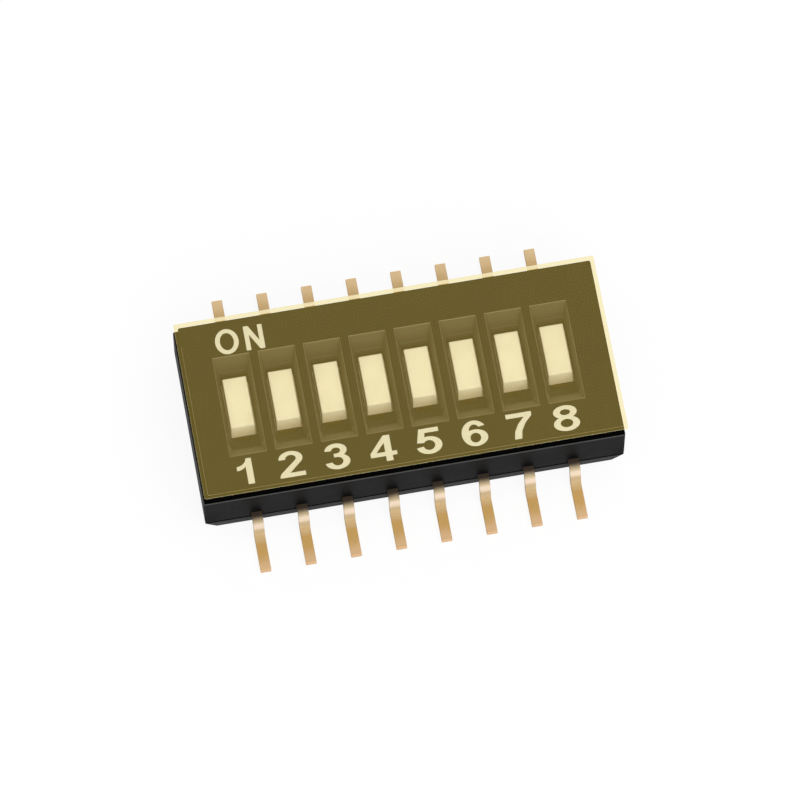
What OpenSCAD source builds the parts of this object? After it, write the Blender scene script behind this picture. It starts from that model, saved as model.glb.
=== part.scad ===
// Half-pitch surface-mount slide switch block.
// X runs along the row, +Y is the ON side, and z = 0 is the board under the feet.
// The cover drops over the base, the sliders run in the cover's cells, and a film seals the windows.

/* [Row] */
// Number of switches in the row
positions = 8; // [2:1:12]
// Distance between neighbouring switches
pitch = 1.27; // [1.25:0.01:2.54]

/* [Cover] */
// Outer width of the housing, front to back
body_w = 5.2; // [5:0.05:7]
// Width of the cell that each slider runs in
cell_w = 1.03; // [0.95:0.01:1.1]
// Length of each cell, front to back
cell_l = 4.2; // [2.4:0.1:4.3]
// Height of each cell, from the base to the roof
cell_h = 0.88; // [0.8:0.02:1.2]
// Thickness of the end walls beside the outer cells
end_wall = 0.925; // [0.85:0.005:1.5]
// Thickness of the skirt that drops over the base
skirt_wall = 0.3; // [0.2:0.02:0.4]
// Thickness of the roof over the cells
roof_t = 0.68; // [0.55:0.01:0.9]
// How far the rim under the film stands in from the skirt
rim_inset = 0.09; // [0.06:0.01:0.2]
// Height of that rim above the skirt
rim_h = 0.39; // [0.2:0.01:0.5]
// How far the rim and the film sit to the right of the skirt's middle
rim_shift_x = 0.05; // [0:0.01:0.06]
// How far the rim and the film sit behind the skirt's middle
rim_shift_y = 0.02; // [0:0.01:0.06]
// Radius of the housing's upright corners
corner_r = 0.05; // [0.02:0.01:0.15]

/* [Windows] */
// Length of each window at the top of the cover
window_l = 2.96; // [2.7:0.01:3.1]
// Width of each window at the top of the cover
window_w = 1.02; // [0.9:0.01:1.1]
// Depth of the sloped part of the window
funnel_h = 0.5; // [0.3:0.01:0.52]

/* [Base] */
// Height of the base's underside above the board
standoff = 0.08; // [0.04:0.01:0.3]
// Height of the plinth that shows below the cover
plinth_h = 0.49; // [0.4:0.01:0.8]
// How far the plinth's ends slope in at the bottom
end_inset = 0.32; // [0:0.01:0.6]
// How far the plinth's long sides slope in at the bottom
side_inset = 0.07; // [0:0.01:0.2]
// Height of the plateau inside the skirt
plateau_h = 0.29; // [0.22:0.01:0.5]
// Gap between the plinth and the skirt's lower edge
parting_gap = 0.06; // [0.01:0.01:0.1]
// Diameter of the locating pegs
peg_d = 0.36; // [0.2:0.02:0.4]
// Height of the locating pegs
peg_h = 0.45; // [0.2:0.05:0.6]
// Distance of the locating pegs from the middle line
peg_y = 1.3; // [0.5:0.1:1.8]
// Height of the detent ridge between the contact pads
detent_h = 0.025; // [0.01:0.005:0.03]

/* [Terminals] */
// Width of each lead outside the housing
lead_w = 0.3; // [0.2:0.01:0.45]
// Thickness of the lead strip
lead_t = 0.15; // [0.1:0.01:0.2]
// Reach of the leads beyond the housing
lead_reach = 1.49; // [1:0.01:2]
// Distance from the housing to the middle of the first bend
lead_stub = 0.24; // [0.2:0.01:0.4]
// Slope of the leg between the two bends
leg_angle = 74; // [60:1:85]
// Inner radius of both bends
lead_bend_r = 0.12; // [0.05:0.01:0.14]
// Width of the contact pad on the base
pad_w = 0.5; // [0.4:0.01:0.52]
// Distance from the middle line to the pad's outer end
pad_out = 2.0; // [1.2:0.05:2.1]
// Length of pad that stays under a contact that rests on it
pad_margin = 0.25; // [0.1:0.01:0.3]

/* [Slider] */
// Travel of each slider from ON to OFF
travel = 0.4; // [0.3:0.01:0.5]
// Width of the knob where it leaves the window
knob_w = 0.7; // [0.5:0.01:0.75]
// Length of the knob where it leaves the window
knob_l = 1.74; // [1.3:0.01:1.8]
// How far each side of the knob slopes in
knob_side_inset = 0.015; // [0:0.005:0.05]
// How far each end of the knob slopes in
knob_end_inset = 0.14; // [0.02:0.01:0.3]
// Depth of the knob's top below the top of the cover
knob_sink = 0.28; // [0.1:0.01:0.4]
// Height of the crown across the knob's top
crown_h = 0.03; // [0.01:0.01:0.06]
// Length of the flange that keeps the slider in its cell
flange_l = 1.4; // [1.2:0.05:1.7]
// Thickness of the flange
flange_h = 0.44; // [0.36:0.01:0.5]
// Depth of the channel that holds the contact
channel_h = 0.22; // [0.15:0.01:0.26]
// Width of the legs that stand on the base
leg_w = 0.18; // [0.1:0.01:0.2]
// Length of the legs that stand on the base
leg_l = 0.9; // [0.5:0.05:1.2]

/* [Sliding contact] */
// Width of the contact strip
wiper_w = 0.44; // [0.3:0.01:0.5]
// Thickness of the contact strip
wiper_t = 0.08; // [0.05:0.01:0.1]
// Length of the contact's flat top
wiper_flat_l = 0.36; // [0.3:0.01:0.5]
// Slope of the contact's two arms
arm_angle = 65; // [50:1:75]
// Inner radius of the bends at the flat top
arm_bend_r = 0.08; // [0.04:0.01:0.12]
// Inner radius of the rounded contact points
point_r = 0.1; // [0.06:0.01:0.12]
// How far the tips turn up behind the contact points
tip_angle = 30; // [10:1:45]
// Length of the straight tips
tip_l = 0.03; // [0.01:0.01:0.06]
// Diameter of the stud that carries the contact
stud_d = 0.18; // [0.1:0.01:0.22]

/* [Film] */
// Thickness of the sealing film
film_t = 0.04; // [0.03:0.01:0.12]
// How far the film stands out past the rim
film_overhang = 0.11; // [0:0.01:0.15]
// Radius of the film's corners
film_corner_r = 0.04; // [0.02:0.01:0.15]

/* [Clearances] */
// Gap between a slider and the walls that guide it
run_gap = 0.03; // [0.02:0.005:0.05]
// Gap between a slider and the roof above it
lift_gap = 0.02; // [0.01:0.005:0.04]
// Gap between a contact point and the pad below it
contact_gap = 0.04; // [0.035:0.005:0.06]
// Gap between the base and the cover's skirt
seat_gap = 0.02; // [0.01:0.005:0.04]
// Gap all round in a locating hole
peg_gap = 0.01; // [0.005:0.005:0.03]
// Gap beyond the tip of a locating peg
peg_tip_gap = 0.05; // [0.02:0.01:0.1]

/* [Hidden] */
$fn = 48;

// How far a cut runs past the face that it opens
cut = 0.1;

// Heights above the board
plinth_z = standoff + plinth_h;
skirt_z = plinth_z + parting_gap;
floor_z = plinth_z + plateau_h;
roof_z = floor_z + cell_h;
top_z = roof_z + roof_t;
ledge_z = top_z - rim_h;
flange_top_z = roof_z - lift_gap;
channel_z = flange_top_z - flange_h + channel_h;

// The housing and what fits inside its skirt
row_l = (positions - 1) * pitch;
body_l = row_l + cell_w + 2 * end_wall;
pocket_l = body_l - 2 * skirt_wall;
pocket_w = body_w - 2 * skirt_wall;
plateau_l = pocket_l - 2 * seat_gap;
plateau_w = pocket_w - 2 * seat_gap;
rim_l = body_l - 2 * rim_inset;
rim_w = body_w - 2 * rim_inset;
peg_x = ((row_l + cell_w) / 2 + plateau_l / 2) / 2;
peg_hole_h = peg_h + peg_tip_gap;

// The slot at the foot of each window lets the knob travel
slot_w = knob_w + 2 * run_gap;
slot_l = knob_l + travel + 2 * run_gap;
notch_w = lead_w + 2 * seat_gap;

// The sliding contact: its arms reach from the channel down to the pads
wiper_top_z = channel_z;
wiper_drop = wiper_top_z - (floor_z + contact_gap) - wiper_t;
arm_turn_r = arm_bend_r + wiper_t / 2;
point_turn_r = point_r + wiper_t / 2;
arm_l = (wiper_drop - (arm_turn_r + point_turn_r) * (1 - cos(arm_angle))) / sin(arm_angle);
contact_y = wiper_flat_l / 2 + (arm_turn_r + point_turn_r) * sin(arm_angle) + arm_l * cos(arm_angle);

// Where the pads end: an open switch leaves its rear contact on bare plastic
rest_y = travel / 2;
front_pad_y = rest_y - contact_y + pad_margin;
rear_pad_y = rest_y + contact_y - pad_margin;

// The lead drops from the pad's height to the board between two equal bends
lead_turn_r = lead_bend_r + lead_t / 2;
lead_drop = floor_z - lead_t;
leg_run = (lead_drop - 2 * lead_turn_r * (1 - cos(leg_angle))) / sin(leg_angle);
lead_tangent = lead_turn_r * tan(leg_angle / 2);
foot_run = lead_reach - lead_stub - lead_drop / tan(leg_angle) - lead_tangent;

function switch_x(i) = (i - 1) * pitch - row_l / 2;

// A plate with round upright corners, standing on z = 0
module rounded_plate(l, w, h, r) {
    translate([-l / 2, -w / 2 + r, 0]) cube([l, w - 2 * r, h]);
    translate([-l / 2 + r, -w / 2, 0]) cube([l - 2 * r, w, h]);
    for (x = [-1, 1], y = [-1, 1])
        translate([x * (l / 2 - r), y * (w / 2 - r), 0]) cylinder(r = r, h = h);
}

// A block from z = 0 to h whose four sides slope between two rectangles
module sloped_block(l0, w0, l1, w1, h) {
    intersection() {
        rotate([90, 0, 0]) linear_extrude(height = max(w0, w1), center = true)
            polygon([[-l0 / 2, 0], [l0 / 2, 0], [l1 / 2, h], [-l1 / 2, h]]);
        rotate([90, 0, 90]) linear_extrude(height = max(l0, l1), center = true)
            polygon([[-w0 / 2, 0], [w0 / 2, 0], [w1 / 2, h], [-w1 / 2, h]]);
    }
}

// The edge view of a bend in strip of thickness t, starting at the origin along +X
module strip_bend(turn, r, t) {
    side = sign(turn);
    a0 = -90 * side;
    reach = 3 * (r + t);
    translate([0, side * (r + t / 2)])
        intersection() {
            difference() {
                circle(r = r + t);
                circle(r = r);
            }
            polygon([[0, 0], for (k = [0, 0.5, 1]) reach * [cos(a0 + k * turn), sin(a0 + k * turn)]]);
        }
}

// The edge view of a folded strip: steps are [straight run, turn, inner bend radius]
module folded_strip(steps, t, i = 0) {
    run = steps[i][0];
    turn = steps[i][1];
    r = steps[i][2];
    side = sign(turn);
    translate([0, -t / 2]) square([run, t]);
    if (turn != 0)
        translate([run, 0]) strip_bend(turn, r, t);
    if (i < len(steps) - 1)
        translate([run, side * (r + t / 2)])
            rotate(turn)
                translate([0, -side * (r + t / 2)])
                    folded_strip(steps, t, i + 1);
}

// Turns an edge view (Y to the right, Z up) into a strip of width w along X
module across_x(w) {
    rotate([90, 0, 90]) linear_extrude(height = w, center = true) children();
}

// Repeats what is given at every switch of the row
module each_switch() {
    for (i = [1:positions]) translate([switch_x(i), 0, 0]) children();
}

// One window: a slot that the knob runs in, below four slopes up to the cover's top
module window() {
    slope_l = (window_l - slot_l) / funnel_h;
    slope_w = (window_w - slot_w) / funnel_h;
    translate([-slot_w / 2, -slot_l / 2, roof_z - cut]) cube([slot_w, slot_l, roof_t + 2 * cut]);
    translate([0, 0, top_z - funnel_h])
        sloped_block(l0 = slot_w, w0 = slot_l,
            l1 = slot_w + slope_w * (funnel_h + cut), w1 = slot_l + slope_l * (funnel_h + cut),
            h = funnel_h + cut);
}

module cover() {
    color([0.13, 0.13, 0.14])
    difference() {
        union() {
            translate([0, 0, skirt_z]) rounded_plate(body_l, body_w, ledge_z - skirt_z, corner_r);
            translate([rim_shift_x, rim_shift_y, ledge_z]) rounded_plate(rim_l, rim_w, rim_h, corner_r);
        }
        translate([-pocket_l / 2, -pocket_w / 2, skirt_z - cut])
            cube([pocket_l, pocket_w, floor_z - skirt_z + cut]);
        each_switch() {
            translate([-cell_w / 2, -cell_l / 2, floor_z - cut]) cube([cell_w, cell_l, cell_h + cut]);
            window();
            translate([-notch_w / 2, -body_w / 2 - cut, skirt_z - cut])
                cube([notch_w, body_w + 2 * cut, floor_z - skirt_z + cut]);
        }
        for (x = [-1, 1], y = [-1, 1])
            translate([x * peg_x, y * peg_y, floor_z - cut])
                cylinder(d = peg_d + 2 * peg_gap, h = peg_hole_h + cut);
    }
}

// Places a rear terminal shape as it is and a front one turned to face forwards
module at_side(front) {
    mirror([0, front ? 1 : 0, 0]) children();
}

// The contact pad at the inner end of a terminal
module contact_pad(inner_y) {
    translate([-pad_w / 2, inner_y, floor_z - lead_t]) cube([pad_w, pad_out - inner_y, lead_t]);
}

module terminal(front) {
    root_y = pad_out - lead_t;
    color([0.80, 0.63, 0.40])
    at_side(front) {
        contact_pad(front ? -front_pad_y : rear_pad_y);
        translate([0, root_y, floor_z - lead_t / 2])
            across_x(lead_w)
                folded_strip([
                    [body_w / 2 - root_y + lead_stub - lead_tangent, -leg_angle, lead_bend_r],
                    [leg_run, leg_angle, lead_bend_r],
                    [foot_run, 0, 0]
                ], lead_t);
    }
}

// The groove in the base that one terminal is moulded into
module terminal_groove(front) {
    at_side(front) {
        contact_pad(front ? -front_pad_y : rear_pad_y);
        translate([-lead_w / 2, pad_out, floor_z - lead_t]) cube([lead_w, body_w / 2 - pad_out, lead_t]);
    }
}

module base() {
    color([0.22, 0.22, 0.23])
    difference() {
        union() {
            translate([0, 0, standoff])
                sloped_block(l0 = body_l - 2 * end_inset, w0 = body_w - 2 * side_inset,
                    l1 = body_l, w1 = body_w, h = plinth_h);
            translate([-plateau_l / 2, -plateau_w / 2, plinth_z]) cube([plateau_l, plateau_w, plateau_h]);
            // Sills that close the skirt's notches below the leads
            each_switch()
                translate([-lead_w / 2, -body_w / 2, plinth_z])
                    cube([lead_w, body_w, plateau_h - lead_t]);
            for (x = [-1, 1], y = [-1, 1])
                translate([x * peg_x, y * peg_y, floor_z]) cylinder(d = peg_d, h = peg_h);
            each_switch() detent_ridge();
        }
        each_switch() {
            terminal_groove(front = true);
            terminal_groove(front = false);
        }
    }
}

// A low rounded ridge beside the rear pad that the contact clicks over
module detent_ridge() {
    ridge_r = 2 * detent_h;
    translate([0, rear_pad_y - ridge_r, floor_z + detent_h - ridge_r])
        rotate([0, 90, 0]) cylinder(r = ridge_r, h = pad_w, center = true);
}

module seal_tape() {
    color([0.60, 0.50, 0.16, 0.6])
    translate([rim_shift_x, rim_shift_y, top_z])
        rounded_plate(rim_l + 2 * film_overhang, rim_w + 2 * film_overhang, film_t, film_corner_r);
}

// Edge view of the knob: sloped ends and a low crown across its top
module knob_side() {
    knob_h = top_z - knob_sink - flange_top_z;
    top_l = knob_l - 2 * knob_end_inset;
    polygon([
        [-knob_l / 2, 0], [knob_l / 2, 0],
        [top_l / 2, knob_h - crown_h], [0, knob_h], [-top_l / 2, knob_h - crown_h]
    ]);
}

// End view of the knob: both sides slope in a little towards the top
module knob_end() {
    knob_h = top_z - knob_sink - flange_top_z;
    top_w = knob_w - 2 * knob_side_inset;
    polygon([[-knob_w / 2, 0], [knob_w / 2, 0], [top_w / 2, knob_h], [-top_w / 2, knob_h]]);
}

module slider() {
    flange_w = cell_w - 2 * run_gap;
    channel_w = wiper_w + 2 * run_gap;
    leg_h = flange_top_z - flange_h - floor_z - run_gap;
    color([0.93, 0.90, 0.80]) {
        translate([0, 0, flange_top_z])
            intersection() {
                across_x(knob_w) knob_side();
                rotate([90, 0, 0]) linear_extrude(height = knob_l, center = true) knob_end();
            }
        difference() {
            translate([-flange_w / 2, -flange_l / 2, flange_top_z - flange_h])
                cube([flange_w, flange_l, flange_h]);
            translate([-channel_w / 2, -flange_l / 2 - cut, channel_z - channel_h - cut])
                cube([channel_w, flange_l + 2 * cut, channel_h + cut]);
        }
        for (x = [-1, 1])
            translate([x * (flange_w - leg_w) / 2 - leg_w / 2, -leg_l / 2, floor_z + run_gap])
                cube([leg_w, leg_l, leg_h]);
        translate([0, 0, channel_z - wiper_t]) cylinder(d = stud_d, h = wiper_t);
    }
}

module wiper() {
    color([0.85, 0.70, 0.35])
    translate([0, 0, wiper_top_z - wiper_t / 2])
        difference() {
            for (m = [0, 1])
                mirror([0, m, 0])
                    across_x(wiper_w)
                        folded_strip([
                            [wiper_flat_l / 2, -arm_angle, arm_bend_r],
                            [arm_l, arm_angle + tip_angle, point_r],
                            [tip_l, 0, 0]
                        ], wiper_t);
            cylinder(d = stud_d + 2 * peg_gap, h = wiper_t + 2 * cut, center = true);
        }
}

cover();
base();
seal_tape();
// Terminals count along the front from the left, then back along the rear from the right
for (i = [1:2 * positions])
    translate([switch_x(i <= positions ? i : 2 * positions + 1 - i), 0, 0])
            terminal(front = i <= positions);
for (i = [1:positions])
    translate([switch_x(i), rest_y, 0]) slider();
for (i = [1:positions])
    translate([switch_x(i), rest_y, 0]) wiper();
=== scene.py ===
import bmesh
import bpy
import math
from mathutils import Matrix, Vector


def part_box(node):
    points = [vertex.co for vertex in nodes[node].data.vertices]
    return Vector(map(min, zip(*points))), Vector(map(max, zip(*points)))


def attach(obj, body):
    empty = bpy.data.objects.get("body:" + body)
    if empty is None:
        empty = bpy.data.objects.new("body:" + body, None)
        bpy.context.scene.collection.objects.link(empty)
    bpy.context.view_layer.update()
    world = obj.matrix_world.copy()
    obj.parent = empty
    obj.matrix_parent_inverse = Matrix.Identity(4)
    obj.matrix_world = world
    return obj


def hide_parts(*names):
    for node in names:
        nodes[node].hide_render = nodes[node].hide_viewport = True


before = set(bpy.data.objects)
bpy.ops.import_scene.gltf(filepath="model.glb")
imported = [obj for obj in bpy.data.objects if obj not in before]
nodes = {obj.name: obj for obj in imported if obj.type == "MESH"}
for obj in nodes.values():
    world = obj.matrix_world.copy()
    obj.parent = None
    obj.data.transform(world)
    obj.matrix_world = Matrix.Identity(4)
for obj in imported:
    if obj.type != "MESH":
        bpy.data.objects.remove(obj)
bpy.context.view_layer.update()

# Everything is modelled in millimetres and turned into metres as a piece is finished
mm = 0.001
switchCount = len([name for name in nodes if name.startswith("slider_")])


def boxMm(node):
    low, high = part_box(node)
    return low / mm, high / mm


coverLow, coverHigh = boxMm("cover")
filmLow, filmHigh = boxMm("seal_tape")
filmMid = (filmLow + filmHigh) / 2
filmHalf = (filmHigh - filmLow) / 2
knobTop = boxMm("slider_1")[1].z
baseFloor = boxMm("terminal_1")[1].z     # the cells' floor, with the contact pads flush in it
rowX = [sum(v.x for v in boxMm("slider_%d" % i)) / 2 for i in range(1, switchCount + 1)]
pitch = rowX[1] - rowX[0]
print("frame: %d nodes, %d switches at %.2f mm" % (len(nodes), switchCount, pitch))


# Shader helpers

class Wire:
    # One output of a node. Sums and products of wires and numbers become Math nodes.
    def __init__(self, finish, socket):
        self.finish = finish
        self.socket = socket

    def maths(self, operation, *values):
        return self.finish.node("ShaderNodeMath", {"operation": operation}, dict(enumerate(values)))

    def out(self, name):
        return Wire(self.finish, self.socket.node.outputs[name])

    def __add__(self, other):
        return self.maths("ADD", self, other)

    def __radd__(self, other):
        return self.maths("ADD", other, self)

    def __sub__(self, other):
        return self.maths("SUBTRACT", self, other)

    def __rsub__(self, other):
        return self.maths("SUBTRACT", other, self)

    def __mul__(self, other):
        return self.maths("MULTIPLY", self, other)

    def __rmul__(self, other):
        return self.maths("MULTIPLY", other, self)

    def __truediv__(self, other):
        return self.maths("DIVIDE", self, other)

    def __rtruediv__(self, other):
        return self.maths("DIVIDE", other, self)

    def __abs__(self):
        return self.maths("ABSOLUTE", self)

    def fract(self):
        return self.maths("FRACT", self)

    def most(self, other):
        return self.maths("MAXIMUM", self, other)


class Finish:
    # The nodes of one material or world
    def __init__(self, owner):
        owner.use_nodes = True
        self.owner = owner
        self.tree = owner.node_tree
        self.tree.nodes.clear()

    def node(self, kind, settings=None, values=None):
        made = self.tree.nodes.new(kind)
        for name, value in (settings or {}).items():
            setattr(made, name, value)
        for name, value in (values or {}).items():
            socket = made.inputs[name]
            if isinstance(value, Wire):
                self.tree.links.new(value.socket, socket)
            else:
                socket.default_value = value
        outputs = [o for o in made.outputs if o.enabled]
        return Wire(self, outputs[0]) if outputs else None

    # Object coordinates in millimetres
    def place(self, stretch=(1, 1, 1)):
        spot = self.node("ShaderNodeTexCoord").out("Object")
        scale = [s / mm for s in stretch]
        return self.node("ShaderNodeMapping", {"vector_type": "POINT"}, {"Vector": spot, "Scale": scale})

    def axes(self, place):
        split = self.node("ShaderNodeSeparateXYZ", None, {0: place})
        return split.out("X"), split.out("Y"), split.out("Z")

    # 0 at the first limit and before it, 1 at the second and past it, smooth between
    def step(self, value, zero, one):
        return self.node("ShaderNodeMapRange", {"interpolation_type": "SMOOTHSTEP"},
                         {"Value": value, "From Min": zero, "From Max": one})

    def noise(self, place, scale, detail, rough):
        return self.node("ShaderNodeTexNoise", None,
                         {"Vector": place, "Scale": scale, "Detail": detail, "Roughness": rough})

    def mix(self, share, first, second):
        return self.node("ShaderNodeMix", {"data_type": "RGBA"}, {0: share, 6: first, 7: second})

    # A colour darkened to a share of itself
    def tint(self, colour, share):
        grey = self.node("ShaderNodeCombineColor", None, {0: share, 1: share, 2: share})
        return self.node("ShaderNodeMix", {"data_type": "RGBA", "blend_type": "MULTIPLY"},
                         {0: 1.0, 6: colour, 7: grey})

    def bump(self, height, distance, strength):
        return self.node("ShaderNodeBump", None,
                         {"Height": height, "Distance": distance * mm, "Strength": strength})

    def surface(self, values):
        return self.node("ShaderNodeBsdfPrincipled", None, values)

    def clear(self, colour):
        return self.node("ShaderNodeBsdfTransparent", None, {"Color": colour})

    def mixShader(self, share, first, second):
        return self.node("ShaderNodeMixShader", None, {0: share, 1: first, 2: second})

    def end(self, surface, kind="Material"):
        self.node("ShaderNodeOutput" + kind, None, {"Surface": surface})
        return self.owner


def newMaterial(name):
    return Finish(bpy.data.materials.new(name))


def rgb(red, green, blue):
    return (red, green, blue, 1.0)


# Camera, floor and light

viewSettings = {
    "turn": -10.15,          # degrees round the object from straight in front
    "height": 68.46,         # degrees above the floor
    "distance": 200.0,
    "lens": 324.9,
    "sensor": 36.0,
    "clip": (0.01, 10.0),    # metres
    "aim": (0.041, -0.155),  # right and up from a point over the middle of the part
    "aimHeight": 1.2,
}


def makeCamera(s):
    turn, height = math.radians(s["turn"]), math.radians(s["height"])
    back = Vector((math.sin(turn) * math.cos(height), -math.cos(turn) * math.cos(height), math.sin(height)))
    right = Vector((math.cos(turn), math.sin(turn), 0))
    up = back.cross(right)
    target = Vector((0, 0, s["aimHeight"])) + right * s["aim"][0] + up * s["aim"][1]
    data = bpy.data.cameras.new("camera")
    data.lens = s["lens"]
    data.sensor_width = s["sensor"]
    data.clip_start, data.clip_end = s["clip"]
    camera = bpy.data.objects.new("camera", data)
    spot = Matrix.Translation((target + back * s["distance"]) * mm)
    camera.matrix_world = spot @ Matrix((right, up, back)).transposed().to_4x4()
    bpy.context.scene.collection.objects.link(camera)
    bpy.context.scene.camera = camera


floorSettings = {
    "size": 1500.0,
    "paper": rgb(0.88, 0.88, 0.88),
    "white": rgb(1, 1, 1),
    "lift": 0.90,            # how far the floor is lifted to white where the camera or a reflection sees it
}


# 1 for the rays of the camera, of reflections and of clear pieces, and 0 for those that light the object
def seenRays(f):
    rays = f.node("ShaderNodeLightPath")
    seen = rays.out("Is Camera Ray").most(rays.out("Is Glossy Ray"))
    return seen.most(rays.out("Is Transmission Ray"))


def makeFloor(s):
    f = newMaterial("floorPaper")
    paper = f.node("ShaderNodeBsdfDiffuse", None, {"Color": s["paper"]})
    white = f.node("ShaderNodeEmission", None, {"Color": s["white"], "Strength": 1.0})
    material = f.end(f.mixShader(seenRays(f) * s["lift"], paper, white))
    bm = bmesh.new()
    bmesh.ops.create_grid(bm, x_segments=1, y_segments=1, size=s["size"] / 2)
    floor = addPiece("floor", bm, material)


lampSettings = {
    "key": {"from": (60, -30, 130), "size": 120, "power": 0.050},
    "front": {"from": (20, -105, 105), "size": 110, "power": 0.105},
    "rear": {"from": (20, 140, 70), "size": 90, "power": 0.036},
}


def makeLamps(lamps):
    for name, s in lamps.items():
        data = bpy.data.lights.new(name, "AREA")
        data.size = s["size"] * mm
        data.energy = s["power"]
        lamp = bpy.data.objects.new(name, data)
        spot = Vector(s["from"])
        turn = spot.to_track_quat("Z", "Y").to_matrix().to_4x4()
        lamp.matrix_world = Matrix.Translation(spot * mm) @ turn
        bpy.context.scene.collection.objects.link(lamp)


worldSettings = {
    "colour": rgb(1, 1, 1),
    "ambient": 0.70,         # strength of its light on the object
}


def makeWorld(s):
    world = bpy.data.worlds.new("softRoom")
    bpy.context.scene.world = world
    f = Finish(world)
    seen = seenRays(f)
    strength = seen + (1 - seen) * s["ambient"]
    f.end(f.node("ShaderNodeBackground", None, {"Color": s["colour"], "Strength": strength}), "World")


# Mesh helpers

mergeSettings = {
    "distance": 0.0005,      # points closer than this are one
    "flatAngle": 0.5,        # degrees: faces that turn less than this are one
}
touch = 0.01                 # how close to a height counts as at it


# A bmesh in millimetres becomes a piece in metres. Edges sharper than the angle stay crisp.
def addPiece(name, bm, material, crisp=None):
    if crisp is not None:
        for face in bm.faces:
            face.smooth = True
        for edge in bm.edges:
            edge.smooth = edge.calc_face_angle(0) < math.radians(crisp) and not edge.tag
    bmesh.ops.scale(bm, vec=(mm, mm, mm), verts=bm.verts)
    mesh = bpy.data.meshes.new(name)
    bm.to_mesh(mesh)
    bm.free()
    mesh.materials.append(material)
    piece = bpy.data.objects.new(name, mesh)
    bpy.context.scene.collection.objects.link(piece)
    if crisp is not None:
        flat = piece.modifiers.new("flatFaces", "WEIGHTED_NORMAL")
        flat.keep_sharp = True
    return piece


# Puts a piece on its body and hides the plain solids that it stands for
def seat(piece, body, slot, *replaced):
    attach(piece, body)
    if replaced:
        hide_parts(*replaced)


# A copy of a plain solid, in millimetres, with its triangles merged into whole faces
def wholeCopy(node):
    s = mergeSettings
    bm = bmesh.new()
    bm.from_mesh(nodes[node].data)
    bmesh.ops.scale(bm, vec=(1 / mm, 1 / mm, 1 / mm), verts=bm.verts)
    bmesh.ops.remove_doubles(bm, verts=bm.verts, dist=s["distance"])
    bmesh.ops.dissolve_limit(bm, angle_limit=math.radians(s["flatAngle"]), verts=bm.verts, edges=bm.edges)
    return bm


def lowestZ(edge):
    return min(v.co.z for v in edge.verts)


def highestZ(edge):
    return max(v.co.z for v in edge.verts)


# Rounds the wanted edges that turn by more than an angle in degrees
def roundEdges(bm, sharp, wanted, width, segments):
    turn = math.radians(sharp)
    edges = [e for e in bm.edges if e.is_manifold and e.calc_face_angle(0) > turn and wanted(e)]
    bmesh.ops.bevel(bm, geom=edges, offset=width, offset_type="OFFSET", segments=segments,
                    profile=0.5, affect="EDGES", material=-1, clamp_overlap=True)


# Housing. In all the settings a noise is its scale, detail and roughness, and a pair of limits is
# where a mask is 0 and where it is 1. A bump is its distance and strength.
coverSettings = {
    "edgeRound": 0.020,
    "rimRound": 0.016,
    "edgeSegments": 2,
    "bodySharp": 40,
    "rimSharp": 25,
    "crisp": 30,
    "outerBand": 0.2,                        # edges this close to the cover's box are its outer ones
    "aboveFloor": 0.05,                      # outer edges are rounded from this far over the cells' floor
    "filmOverhang": 0.11,
    "rimHeight": 0.39,
    "black": rgb(0.0062, 0.0062, 0.0066),
    "streak": rgb(0.0090, 0.0090, 0.0095),
    "cloud": (0.9, 4.0, 0.6),
    "flow": (2.4, 5.0, 0.65),
    "flowStretch": (3.0, 0.5, 1.0),
    "streaks": (0.38, 0.68),
    "grain": (22.0, 4.0, 0.6),
    "bump": (0.0012, 0.5),
    "rough": 0.50,
    "grainRough": 0.16,
    "cloudRough": 0.08,
    "specular": 0.031,
    "skin": (0.002, 0.006),                  # depth at which the flat top ends
    "windowX": (0.30, 0.35),                 # how far in from the rim's side the windows begin
    "windowY": (0.40, 0.45),
    "slope": rgb(0.124, 0.106, 0.085),       # painted light on the windows' slopes, fullest on the front ones
    "slopeDepth": (1.15, 0.45),
    "frontSlope": (-1.05, -1.15),
    "otherSlopes": 0.72,
    "otherShadeFade": 0.42,                       # painted shade: what they lose on the way down
    "otherDepth": (0.10, 0.50),
    "leftSlope": (-0.34, -0.40),             # from the middle of a switch
    "leftSlopeY": (1.0, 0.9),
    # painted shade on each window's left slope
    "leftSlopeShade": 0.45,
    "edgeHighlight": rgb(0.240, 0.215, 0.170),    # painted highlight on the top edges, brighter at the left end
    "leftHighlight": rgb(0.420, 0.380, 0.280),
    "leftEnd": (-5.60, -5.70),
    "edgeHighlightShare": 0.9,
    "edgeHighlightFade": 0.006,
    "edgeHighlightY": (2.0, 1.9),                 # behind this the rim's edge gets no painted highlight
    "ledgeHighlight": rgb(0.062, 0.062, 0.060),   # painted highlight on the rounded edge of the ledge outside the rim
    "ledgeRound": (0.055, 0.040),            # depths under the ledge
    "skirtTop": (0.001, 0.003),
    "grooveAndShadow": rgb(0.002, 0.002, 0.002),         # painted shadow on the rim's side and ledge under the film, and the dark parting groove
    "shadowRough": 0.9,
    "lowerEdge": (0.030, 0.020),
    "rimSide": (0.020, 0.010),
    "rimTop": (0.022, 0.028),
    "backEdge": (2.2, 2.3),
    "rightHalf": (0, 1),
    "leadShade": 0.37,                       # soft dark marks over each lead where it leaves the skirt
    "leadShadeX": (0.30, 0.04),
    "leadShadeY": (2.50, 2.58),
    "leadShadeZ": (1.60, 0.80),
}


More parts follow.
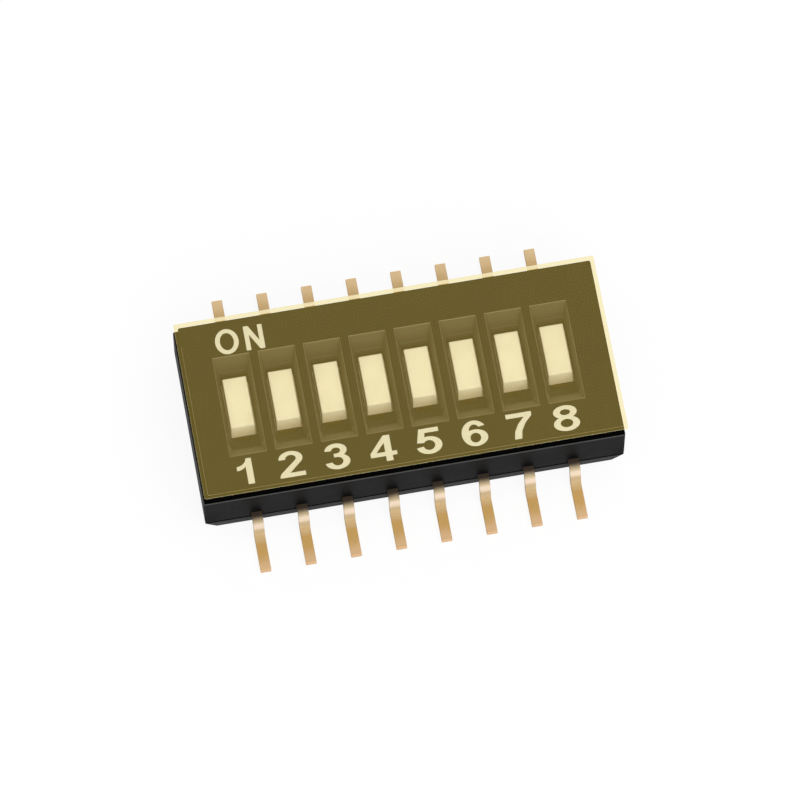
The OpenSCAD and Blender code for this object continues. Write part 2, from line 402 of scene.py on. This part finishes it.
def coverPlastic(s):
    f = newMaterial("coverPlastic")
    place = f.place()
    x, y, z = f.axes(place)
    depth = coverHigh.z - z
    underLedge = depth - s["rimHeight"]
    rimX = filmHalf.x - s["filmOverhang"] - abs(x - filmMid.x)
    rimY = filmHalf.y - s["filmOverhang"] - abs(y - filmMid.y)
    # -0.5 to 0.5 over each switch. The whole 100 keeps the sum above 0.
    cell = ((x - rowX[0]) / pitch + 100.5).fract() - 0.5
    cloud = f.noise(place, *s["cloud"])
    flow = f.noise(f.place(s["flowStretch"]), *s["flow"])
    colour = f.mix(f.step(cloud * 0.5 + flow * 0.5, *s["streaks"]), s["black"], s["streak"])
    inside = f.step(rimY, *s["windowY"]) * f.step(rimX, *s["windowX"])
    belowTop = f.step(depth, *s["skin"])

    # Painted light on the windows' slopes, fading into painted shade lower down and on the left slopes
    front = f.step(y, *s["frontSlope"])
    leftShadeMask = f.step(cell * pitch, *s["leftSlope"]) * (1 - front) * f.step(y, *s["leftSlopeY"])
    otherSlopeLight = s["otherSlopes"] - s["otherShadeFade"] * f.step(depth, *s["otherDepth"])
    slope = f.step(depth, *s["slopeDepth"]) * inside * belowTop
    slope = slope * (1 - s["leftSlopeShade"] * leftShadeMask) * (front + (1 - front) * otherSlopeLight)
    colour = f.mix(slope, colour, s["slope"])

    # Painted highlights on the top edges and on the ledge's rounded edge, and the dark lower edge
    edgeHighlight = f.step(depth, s["rimRound"] + s["edgeHighlightFade"], s["rimRound"]) * belowTop
    facing = f.step(y, *s["edgeHighlightY"]).most(inside)
    highlightColour = f.mix(f.step(x, *s["leftEnd"]), s["edgeHighlight"], s["leftHighlight"])
    colour = f.mix(edgeHighlight * facing * s["edgeHighlightShare"], colour, highlightColour)
    skirt = f.step(underLedge, *s["skirtTop"])
    colour = f.mix(f.step(underLedge, *s["ledgeRound"]) * skirt, colour, s["ledgeHighlight"])
    colour = f.mix(f.step(z - coverLow.z, *s["lowerEdge"]), colour, s["grooveAndShadow"])

    overLead = f.step(abs(cell) * pitch, *s["leadShadeX"]) * f.step(abs(y), *s["leadShadeY"])
    overLead = overLead * f.step(z, *s["leadShadeZ"])
    colour = f.tint(colour, 1 - overLead * (1 - s["leadShade"]))
    grain = f.noise(place, *s["grain"]) * belowTop
    rough = s["rough"] + grain * s["grainRough"] - cloud * s["cloudRough"]
    main = f.surface({"Base Color": colour, "Roughness": rough, "Specular IOR Level": s["specular"],
                      "Normal": f.bump(grain, *s["bump"])})

    # Painted shadow: the rim's side under the film and the rounding at the back and right end are near black
    # and dull
    paintedShadow = f.surface({"Base Color": s["grooveAndShadow"], "Roughness": s["shadowRough"], "Specular IOR Level": 0.0})
    endSide = f.step(rimX, *s["rimSide"])
    rimSide = endSide.most(f.step(rimY, *s["rimSide"]))
    farEdge = f.step(y, *s["backEdge"]).most(endSide * f.step(x, *s["rightHalf"])) * belowTop
    shadowBand = rimSide * (1 - skirt) * f.step(depth, *s["rimTop"]).most(farEdge)
    return f.end(f.mixShader(shadowBand, main, paintedShadow))


def makeCover(s):
    bm = wholeCopy("cover")
    ledge = coverHigh.z - s["rimHeight"]

    def atTop(edge):
        return edge.is_convex and lowestZ(edge) > coverHigh.z - touch

    def onBody(edge):
        if not edge.is_convex or highestZ(edge) >= ledge + touch:
            return False
        outer = coverHigh - Vector((s["outerBand"], s["outerBand"], 0))
        onOutside = all(abs(v.co.y) > outer.y or abs(v.co.x) > outer.x for v in edge.verts)
        upper = lowestZ(edge) > baseFloor + s["aboveFloor"]
        return onOutside and (upper or highestZ(edge) < coverLow.z + touch)

    roundEdges(bm, s["rimSharp"], atTop, s["rimRound"], s["edgeSegments"])
    roundEdges(bm, s["bodySharp"], onBody, s["edgeRound"], s["edgeSegments"])
    cover = addPiece("coverShell", bm, coverPlastic(s), s["crisp"])
    seat(cover, "housing", "cover_plastic", "cover")


baseSettings = {
    "edgeRound": 0.018,
    "edgeSegments": 2,
    "sharp": 25,
    "crisp": 30,
    "grey": rgb(0.020, 0.020, 0.020),
    "pale": rgb(0.029, 0.029, 0.029),
    "cloud": (1.1, 4.0, 0.6),
    "clouds": (0.35, 0.70),
    "groove": rgb(0.003, 0.003, 0.003),      # at the parting line
    "grooveZ": (-0.092, -0.080),             # heights from the cover's lower edge
    "inside": rgb(0.208, 0.175, 0.140),      # painted light: the floor under the windows, as the light leaves it, much paler than the base's own grey
    "insideZ": (0.08, 0.12),
    "grain": (20.0, 4.0, 0.6),
    "bump": (0.0015, 0.5),
    "rough": 0.52,
    "grainRough": 0.16,
    "specular": 0.06,
}


def basePlastic(s):
    f = newMaterial("basePlastic")
    place = f.place()
    height = f.axes(place)[2] - coverLow.z
    cloud = f.noise(place, *s["cloud"])
    colour = f.mix(f.step(cloud, *s["clouds"]), s["grey"], s["pale"])
    colour = f.mix(f.step(height, *s["grooveZ"]), colour, s["groove"])
    # Painted light: the floor under the windows is much paler than the base's own grey
    colour = f.mix(f.step(height, *s["insideZ"]), colour, s["inside"])
    grain = f.noise(place, *s["grain"])
    return f.end(f.surface({"Base Color": colour, "Roughness": s["rough"] + grain * s["grainRough"],
                            "Specular IOR Level": s["specular"], "Normal": f.bump(grain, *s["bump"])}))


def makeBase(s):
    bm = wholeCopy("base")

    def belowCover(edge):
        return edge.is_convex and highestZ(edge) < coverLow.z - touch

    roundEdges(bm, s["sharp"], belowCover, s["edgeRound"], s["edgeSegments"])
    base = addPiece("basePlate", bm, basePlastic(s), s["crisp"])
    seat(base, "housing", "base_plastic", "base")


# Film
filmSettings = {
    "edgeRound": 0.010,
    "edgeSegments": 2,
    "sharp": 50,
    "crisp": 30,
    "flush": 0.001,          # how close to the film's top or underside a point is on it
    "lift": 0.004,           # keeps the film's underside off the cover's face
    "cover": 0.16,           # share of the film's face that scatters light
    "uneven": 0.02,
    "cloud": (0.5, 3.0, 0.5),
    "amber": rgb(0.68, 0.503, 0.102),
    "tint": rgb(1.0, 0.965, 0.80),
    "none": rgb(1, 1, 1),
    "face": (0.022, 0.016),  # depth to which the film scatters and tints. Below it is clear.
    # painted highlight along the film's outer edge
    "edge": rgb(0.80, 0.71, 0.34),
    "edgeHighlightCover": 0.12,
    "edgeWidth": (0.020, 0.008),
    "rimTint": rgb(0.97, 0.905, 0.62),       # of the border that hangs free outside the rim
    "borderWidth": (0.120, 0.110),
    "floorLitBorder": rgb(0.785, 0.70, 0.435),        # painted light from the white floor behind the free border along the back and the right end
    "floorLitCover": 0.66,                      # what that border scatters on top of the rest
    "farHalf": (0, 1),
    "ripple": (0.5, 2.0, 0.4),
    "bump": (0.004, 0.3),
    "rough": 0.20,
    "cloudRough": 0.06,
    "specular": 0.2,
}


def clearFilm(s):
    f = newMaterial("clearFilm")
    place = f.place()
    x, y, z = f.axes(place)
    edgeX = filmHalf.x - abs(x - filmMid.x)
    edgeY = filmHalf.y - abs(y - filmMid.y)
    # Painted highlight along the film's outer edge
    edge = f.step(edgeX, *s["edgeWidth"]).most(f.step(edgeY, *s["edgeWidth"]))
    freeX = f.step(edgeX, *s["borderWidth"])
    freeY = f.step(edgeY, *s["borderWidth"])
    # Painted light from the white floor on the free border at the back and the right end
    farBorder = (freeX * f.step(x, *s["farHalf"])).most(freeY * f.step(y, *s["farHalf"]))
    cloud = f.noise(place, *s["cloud"])
    ripple = f.noise(f.place((1, 1, 0)), *s["ripple"])
    colour = f.mix(farBorder, f.mix(edge, s["amber"], s["edge"]), s["floorLitBorder"])
    body = f.surface({"Base Color": colour, "Roughness": s["rough"] + cloud * s["cloudRough"],
                      "Specular IOR Level": s["specular"], "Normal": f.bump(ripple, *s["bump"])})
    clear = f.mixShader(freeX.most(freeY), f.clear(s["tint"]), f.clear(s["rimTint"]))
    share = s["cover"] + (cloud - 0.5) * s["uneven"]
    share = share + edge * (1 - farBorder) * s["edgeHighlightCover"] + farBorder * s["floorLitCover"]
    face = f.step(filmHigh.z - z, *s["face"])
    return f.end(f.mixShader(face, f.clear(s["none"]), f.mixShader(share, clear, body)))


def makeFilm(s):
    bm = wholeCopy("seal_tape")
    for v in bm.verts:
        if v.co.z < filmLow.z + s["flush"]:
            v.co.z += s["lift"]

    def atTop(edge):
        return lowestZ(edge) > filmHigh.z - s["flush"]

    roundEdges(bm, s["sharp"], atTop, s["edgeRound"], s["edgeSegments"])
    film = addPiece("sealFilm", bm, clearFilm(s), s["crisp"])
    seat(film, "housing", "film", "seal_tape")


# Sliders and their contacts
knobSettings = {
    "edgeRound": 0.030,
    "edgeSegments": 3,
    "sharp": 20,
    "crisp": 30,
    "knobHeight": 0.42,
    "crown": 0.001,          # how close to the top an edge is the crown's crease
    "white": rgb(0.93, 0.92, 0.89),
    "warm": rgb(0.89, 0.875, 0.835),
    "cloud": (2.0, 4.0, 0.6),
    "clouds": (0.35, 0.70),
    # painted warm light on the knob's lower sides
    "foot": rgb(0.98, 0.85, 0.72),
    "footDepth": (0.05, 0.30),
    "footLightShare": 0.8,
    "grain": (18.0, 3.0, 0.5),
    "bump": (0.003, 0.5),
    "rough": 0.40,
    "grainRough": 0.14,
    "specular": 0.35,
}


def knobPlastic(s):
    f = newMaterial("knobPlastic")
    place = f.place()
    depth = knobTop - f.axes(place)[2]
    cloud = f.noise(place, *s["cloud"])
    colour = f.mix(f.step(cloud, *s["clouds"]), s["white"], s["warm"])
    # Painted warm light on the knob's lower sides
    colour = f.mix(f.step(depth, *s["footDepth"]) * s["footLightShare"], colour, s["foot"])
    grain = f.noise(place, *s["grain"])
    return f.end(f.surface({"Base Color": colour, "Roughness": s["rough"] + grain * s["grainRough"],
                            "Specular IOR Level": s["specular"], "Normal": f.bump(grain, *s["bump"])}))


def makeSliders(s):
    material = knobPlastic(s)
    knobFoot = knobTop - s["knobHeight"]

    def onKnob(edge):
        return edge.is_convex and highestZ(edge) > knobFoot + touch

    for i in range(1, switchCount + 1):
        node = "slider_%d" % i
        bm = wholeCopy(node)
        for edge in bm.edges:
            edge.tag = lowestZ(edge) > knobTop - s["crown"]     # the crease along the crown stays crisp
        roundEdges(bm, s["sharp"], onKnob, s["edgeRound"], s["edgeSegments"])
        knob = addPiece("knob_%d" % i, bm, material, s["crisp"])
        seat(knob, "switch_%d" % i, "knob_plastic", node)


contactSettings = {
    "gold": rgb(0.50, 0.36, 0.16),
    "dark": rgb(0.42, 0.29, 0.12),
    "stretch": (1, 8, 1),
    "streak": (4.0, 3.0, 0.6),
    "streaks": (0.3, 0.7),
    "rough": 0.34,
    "streakRough": 0.12,
}


def contactGold(s):
    f = newMaterial("contactGold")
    streak = f.noise(f.place(s["stretch"]), *s["streak"])
    colour = f.mix(f.step(streak, *s["streaks"]), s["gold"], s["dark"])
    return f.end(f.surface({"Base Color": colour, "Metallic": 1.0,
                            "Roughness": s["rough"] + streak * s["streakRough"]}))


# The contacts stay the plain solids, with a metal of their own
def dressContacts(s):
    material = contactGold(s)
    for i in range(1, switchCount + 1):
        mesh = nodes["wiper_%d" % i].data
        mesh.materials.clear()
        mesh.materials.append(material)


# Leads. The colours go by how far a place is out from the housing, but for the painted highlight band and
# the bend. Most of them are painted light and shade.
leadSettings = {
    "width": 0.30,
    "thickness": 0.15,
    "stub": 0.24,            # from the housing to the middle of the first bend
    "legAngle": 74.0,
    "bendRadius": 0.12,
    "bendSteps": 8,
    "padWidth": 0.50,
    "padOut": 2.0,
    "edgeRound": 0.018,
    "edgeSegments": 2,
    "sharp": 50,
    "crisp": 35,
    "outsideFrom": -0.1,     # edges are rounded from here on out
    "merge": 0.0002,
    "gold": rgb(0.66, 0.44, 0.24),
    "rearLitGold": rgb(0.73, 0.54, 0.30),       # painted light: the rear row is lighter
    "rearHalf": (0, 1),
    "bendShadeBrown": rgb(0.56, 0.35, 0.12),        # painted shade: a darker brown on the foot, near the bend
    "bendShadeReach": (1.40, 0.95),
    "rearBendShadeCut": 0.5,
    # painted light: a paler, greyer colour on the leg
    "leg": rgb(0.56, 0.44, 0.27),
    "legReach": (0.73, 0.60),
    "legLightShare": 0.48,
    "upperLegReach": (0.52, 0.38),
    "upperLegLightShare": 0.52,
    "shade": 0.09,           # a slightly darker ring round the leg
    "shadeFrom": (0.46, 0.50),
    "shadeTo": (0.60, 0.56),
    "legHighlight": rgb(0.86, 0.72, 0.58),         # painted highlight: a pale band below the upper bend
    "legHighlightShare": 0.8,
    "legHighlightFrom": (0.44, 0.60),
    "legHighlightTo": (0.80, 0.68),
    "root": rgb(0.044, 0.031, 0.020),        # painted shadow in the housing's mouth
    "rootShadowReach": (0.355, 0.11),
    "inside": rgb(0.208, 0.175, 0.140),      # painted shade on the contact pads under the windows, which are also dull
    "padShadeReach": (0.00, -0.10),
    "bendZ": (0.40, 0.30),                   # the lower bend, rougher and less metallic
    "bendReach": (0.70, 0.58),
    "cloud": (3.2, 3.0, 0.5),
    "stretch": (9, 1, 1),
    "streak": (3.0, 4.0, 0.6),
    "cloudPush": 0.25,                       # how far cloud and streak push the painted shade in and out
    "streakPush": 0.12,
    "legPush": 0.2,                          # the leg's and the painted highlight band's share of that push
    "rootShadowPush": 0.3,
    "bump": (0.0015, 0.4),
    "metallic": 0.40,
    "bendDull": 0.30,
    "insideDull": 0.40,
    "rough": 0.60,
    "streakRough": 0.12,
    "bendRough": 0.15,
    "specular": 0.15,
}


def leadGold(s):
    f = newMaterial("leadGold")
    place = f.place()
    x, y, z = f.axes(place)
    streak = f.noise(f.place(s["stretch"]), *s["streak"])
    cloud = f.noise(place, *s["cloud"])
    uneven = (cloud - 0.5) * s["cloudPush"] + (streak - 0.5) * s["streakPush"]
    reach = abs(y) - coverHigh.y
    along = reach + uneven * s["legPush"]
    # Painted light on the rear row, and painted shade near the lower bend
    rear = f.step(y, *s["rearHalf"])
    foot = f.step(reach + uneven, *s["bendShadeReach"]) * (1 - s["rearBendShadeCut"] * rear)
    colour = f.mix(foot, f.mix(rear, s["gold"], s["rearLitGold"]), s["bendShadeBrown"])
    # Painted light on the leg
    leg = s["legLightShare"] * f.step(along, *s["legReach"])
    leg = leg + s["upperLegLightShare"] * f.step(along, *s["upperLegReach"])
    colour = f.mix(leg, colour, s["leg"])
    shade = f.step(reach, *s["shadeFrom"]) * f.step(reach, *s["shadeTo"])
    colour = f.tint(colour, 1 - s["shade"] * shade)
    height = z + uneven * s["legPush"]
    # Painted highlight band below the upper bend
    legHighlight = f.step(height, *s["legHighlightFrom"]) * f.step(height, *s["legHighlightTo"])
    colour = f.mix(legHighlight * s["legHighlightShare"], colour, s["legHighlight"])
    # Painted shadow at the root
    colour = f.mix(f.step(reach + uneven * s["rootShadowPush"], *s["rootShadowReach"]), colour, s["root"])
    # Painted shade on the pads under the windows
    inside = f.step(reach, *s["padShadeReach"])
    colour = f.mix(inside, colour, s["inside"])
    bend = f.step(z, *s["bendZ"]) * f.step(reach, *s["bendReach"])
    metallic = s["metallic"] - bend * s["bendDull"] - inside * s["insideDull"]
    rough = s["rough"] + streak * s["streakRough"] + bend * s["bendRough"]
    return f.end(f.surface({"Base Color": colour, "Metallic": metallic, "Roughness": rough,
                            "Specular IOR Level": s["specular"], "Normal": f.bump(streak, *s["bump"])}))


def pushFace(bm, face, vector):
    made = bmesh.ops.extrude_face_region(bm, geom=[face])["geom"]
    bmesh.ops.translate(bm, vec=vector, verts=[g for g in made if isinstance(g, bmesh.types.BMVert)])
    return next(g for g in made if isinstance(g, bmesh.types.BMFace))


def bendFace(bm, face, centre, turn, steps):
    made = bmesh.ops.spin(bm, geom=[face], cent=centre, axis=(1, 0, 0), angle=turn, steps=steps)
    return next(g for g in made["geom_last"] if isinstance(g, bmesh.types.BMFace))


# A rear lead at x = 0: its pad, then the strip pushed along each straight and turned round each bend
def leadShape(s, padStart, reach):
    t = s["thickness"]
    turnRadius = s["bendRadius"] + t / 2
    angle = math.radians(s["legAngle"])
    tangent = turnRadius * math.tan(angle / 2)
    legRun = (baseFloor - t - 2 * turnRadius * (1 - math.cos(angle))) / math.sin(angle)
    leg = Vector((0, math.cos(angle), -math.sin(angle))) * legRun
    bm = bmesh.new()
    padLength = s["padOut"] - padStart
    pad = Matrix.Translation((0, padStart + padLength / 2, baseFloor - t / 2))
    bmesh.ops.create_cube(bm, size=1, matrix=pad @ Matrix.Diagonal((s["padWidth"], padLength, t, 1)))
    root = Matrix.Translation((0, s["padOut"] - t, baseFloor - t / 2)) @ Matrix.Rotation(math.pi / 2, 4, "X")
    made = bmesh.ops.create_grid(bm, x_segments=1, y_segments=1, size=0.5,
                                 matrix=root @ Matrix.Diagonal((s["width"], t, 1, 1)))
    face = made["verts"][0].link_faces[0]
    turnY = coverHigh.y + s["stub"] - tangent
    face = pushFace(bm, face, (0, turnY - (s["padOut"] - t), 0))
    face = bendFace(bm, face, (0, turnY, baseFloor - t / 2 - turnRadius), -angle, s["bendSteps"])
    face = pushFace(bm, face, leg)
    footY = turnY + 2 * turnRadius * math.sin(angle) + leg.y
    face = bendFace(bm, face, (0, footY, t / 2 + turnRadius), angle, s["bendSteps"])
    pushFace(bm, face, (0, reach - footY, 0))
    bmesh.ops.remove_doubles(bm, verts=bm.verts, dist=s["merge"])
    bmesh.ops.recalc_face_normals(bm, faces=bm.faces)
    return bm


def makeLeads(s):
    material = leadGold(s)

    def outside(edge):
        return all(abs(v.co.y) > coverHigh.y + s["outsideFrom"] for v in edge.verts)

    for i in range(1, 2 * switchCount + 1):
        node = "terminal_%d" % i
        low, high = boxMm(node)
        if i <= switchCount:
            bm = leadShape(s, -high.y, -low.y)
            bmesh.ops.rotate(bm, cent=(0, 0, 0), matrix=Matrix.Rotation(math.pi, 3, "Z"), verts=bm.verts)
        else:
            bm = leadShape(s, low.y, high.y)
        bmesh.ops.translate(bm, vec=((low.x + high.x) / 2, 0, 0), verts=bm.verts)
        roundEdges(bm, s["sharp"], outside, s["edgeRound"], s["edgeSegments"])
        lead = addPiece("lead_%d" % i, bm, material, s["crisp"])
        seat(lead, "housing", "lead_gold", node)


# Print
printSettings = {
    "ink": rgb(0.73, 0.745, 0.775),
    "worn": rgb(0.64, 0.655, 0.68),
    "speck": (14.0, 4.0, 0.7),
    "specks": (0.25, 0.50),
    "rough": 0.55,
    "speckRough": 0.2,
    "specular": 0.3,
    "thickness": 0.003,
    "merge": 0.0005,
    "digitHeight": 0.76,
    "digitWide": 1.01,
    "digitY": -1.975,
    "digitShift": -0.148,
    "digitSpread": 1.006,    # the numbers stand a little wider apart than the switches
    "wordHeight": 0.75,
    "wordY": 1.90,
    "letterPlaces": {"O": -0.028, "N": 0.735},
}
bowStep = 12                 # degrees between the points of a round stretch


# A stretch of an ellipse round a middle, by half width, half height and two angles in degrees
def bow(x, y, wide, tall, start, end):
    steps = math.ceil(abs(end - start) / bowStep)
    angles = [math.radians(start + (end - start) * k / steps) for k in range(steps + 1)]
    return [(x + wide * math.cos(a), y + tall * math.sin(a)) for a in angles]


# Each letter is one or more closed outlines of corners and bows, in a box one unit high
letterShapes = {
    "1": [[(0.56, 0), (0.325, 0)] + bow(0, 0.76, 0.335, 0.20, -14, -90)
          + bow(0, 1.0, 0.36, 0.28, -90, 0) + [(0.56, 1)]],
    "2": [bow(0.25, 0, 0.25, 0.26, 180, 120) + bow(0.475, 0.715, 0.19, 0.135, -42, 188)
          + bow(0.475, 0.715, 0.43, 0.285, 184, -38) + [(0.385, 0.165), (0.93, 0.165), (0.93, 0)]],
    "3": [bow(0.445, 0.31, 0.197, 0.162, -172, 90) + [(0.335, 0.472), (0.335, 0.612)]
          + bow(0.43, 0.727, 0.163, 0.115, -90, 178) + bow(0.43, 0.735, 0.40, 0.265, 178, -48)
          + bow(0.445, 0.295, 0.447, 0.295, 56, -176)],
    "4": [[(0.54, 0), (0.54, 0.20), (0, 0.20), (0, 0.36), (0.55, 1), (0.785, 1), (0.785, 0.36),
           (0.96, 0.36), (0.96, 0.20), (0.785, 0.20), (0.785, 0)],
          [(0.54, 0.36), (0.54, 0.72), (0.22, 0.36)]],
    "5": [bow(0.46, 0.345, 0.212, 0.19, -172, 146) + [(0.035, 0.475), (0.165, 1), (0.87, 1), (0.87, 0.83)]
          + [(0.365, 0.83)] + bow(0.46, 0.34, 0.47, 0.34, 106, -170)],
    "6": [bow(0.47, 0.50, 0.47, 0.50, 32, 270) + bow(0.475, 0.325, 0.455, 0.325, -90, 115)
          + bow(0.475, 0.60, 0.20, 0.245, 175, 32), bow(0.48, 0.328, 0.192, 0.187, 0, 348)],
    "7": [[(0, 0.825), (0, 1), (0.93, 1)] + bow(3.45, 0, 3.0, 1.56, 147, 180)
          + bow(3.19, 0, 3.0, 1.56, 180, 148)],
    "8": [bow(0.475, 0.29, 0.475, 0.29, 122, 418) + bow(0.475, 0.74, 0.43, 0.26, -54, 234),
          bow(0.475, 0.732, 0.185, 0.11, 0, 348), bow(0.475, 0.305, 0.225, 0.16, 0, 348)],
    "O": [bow(0.437, 0.5, 0.437, 0.5, 0, 348), bow(0.437, 0.5, 0.257, 0.343, 0, 348)],
    "N": [[(0, 0.02), (0, 0.98), (0.18, 0.98), (0.525, 0.36), (0.525, 0.98), (0.695, 0.98),
           (0.695, 0.02), (0.515, 0.02), (0.17, 0.63), (0.17, 0.02)]],
}


def printInk(s):
    f = newMaterial("printInk")
    speck = f.noise(f.place(), *s["speck"])
    colour = f.mix(f.step(speck, *s["specks"]), s["worn"], s["ink"])
    return f.end(f.surface({"Base Color": colour, "Roughness": s["rough"] + speck * s["speckRough"],
                            "Specular IOR Level": s["specular"]}))


# A letter on the cover's face, half sunk in it. Its size is what one unit of its box becomes.
def makeLetter(s, material, name, text, size, spot):
    curve = bpy.data.curves.new(name, "CURVE")
    curve.dimensions = "2D"
    curve.fill_mode = "BOTH"
    curve.extrude = 0.5
    for outline in letterShapes[text]:
        spline = curve.splines.new("POLY")
        spline.points.add(len(outline) - 1)
        spline.use_cyclic_u = True
        for point, corner in zip(spline.points, outline):
            point.co = (*corner, 0, 1)
    source = bpy.data.objects.new(name, curve)
    bpy.context.scene.collection.objects.link(source)
    bpy.context.view_layer.update()
    mesh = bpy.data.meshes.new_from_object(source)
    bpy.data.objects.remove(source)
    bm = bmesh.new()
    bm.from_mesh(mesh)
    bpy.data.meshes.remove(mesh)
    bmesh.ops.remove_doubles(bm, verts=bm.verts, dist=s["merge"])
    bmesh.ops.recalc_face_normals(bm, faces=bm.faces)
    middle = max(v.co.x for v in bm.verts) / 2
    bmesh.ops.translate(bm, vec=(-middle, -0.5, 0), verts=bm.verts)
    bmesh.ops.scale(bm, vec=(*size, s["thickness"]), verts=bm.verts)
    bmesh.ops.translate(bm, vec=(*spot, coverHigh.z), verts=bm.verts)
    seat(addPiece(name, bm, material), "housing", "print_ink")


def makePrint(s):
    material = printInk(s)
    size = (s["digitHeight"] * s["digitWide"], s["digitHeight"])
    for i, x in enumerate(rowX, 1):
        spot = (x * s["digitSpread"] + s["digitShift"], s["digitY"])
        makeLetter(s, material, "number_%d" % i, str(i), size, spot)
    size = (s["wordHeight"], s["wordHeight"])
    for text, shift in s["letterPlaces"].items():
        makeLetter(s, material, "word_" + text, text, size, (rowX[0] + shift, s["wordY"]))


# Build
makeCamera(viewSettings)
makeFloor(floorSettings)
makeLamps(lampSettings)
makeWorld(worldSettings)
print("stage ready")
makeCover(coverSettings)
makeBase(baseSettings)
print("housing dressed")
makeFilm(filmSettings)
makeSliders(knobSettings)
dressContacts(contactSettings)
print("film, sliders and contacts dressed")
makeLeads(leadSettings)
makePrint(printSettings)
print("leads and print made")

scene = bpy.context.scene
scene.view_settings.view_transform = "Standard"
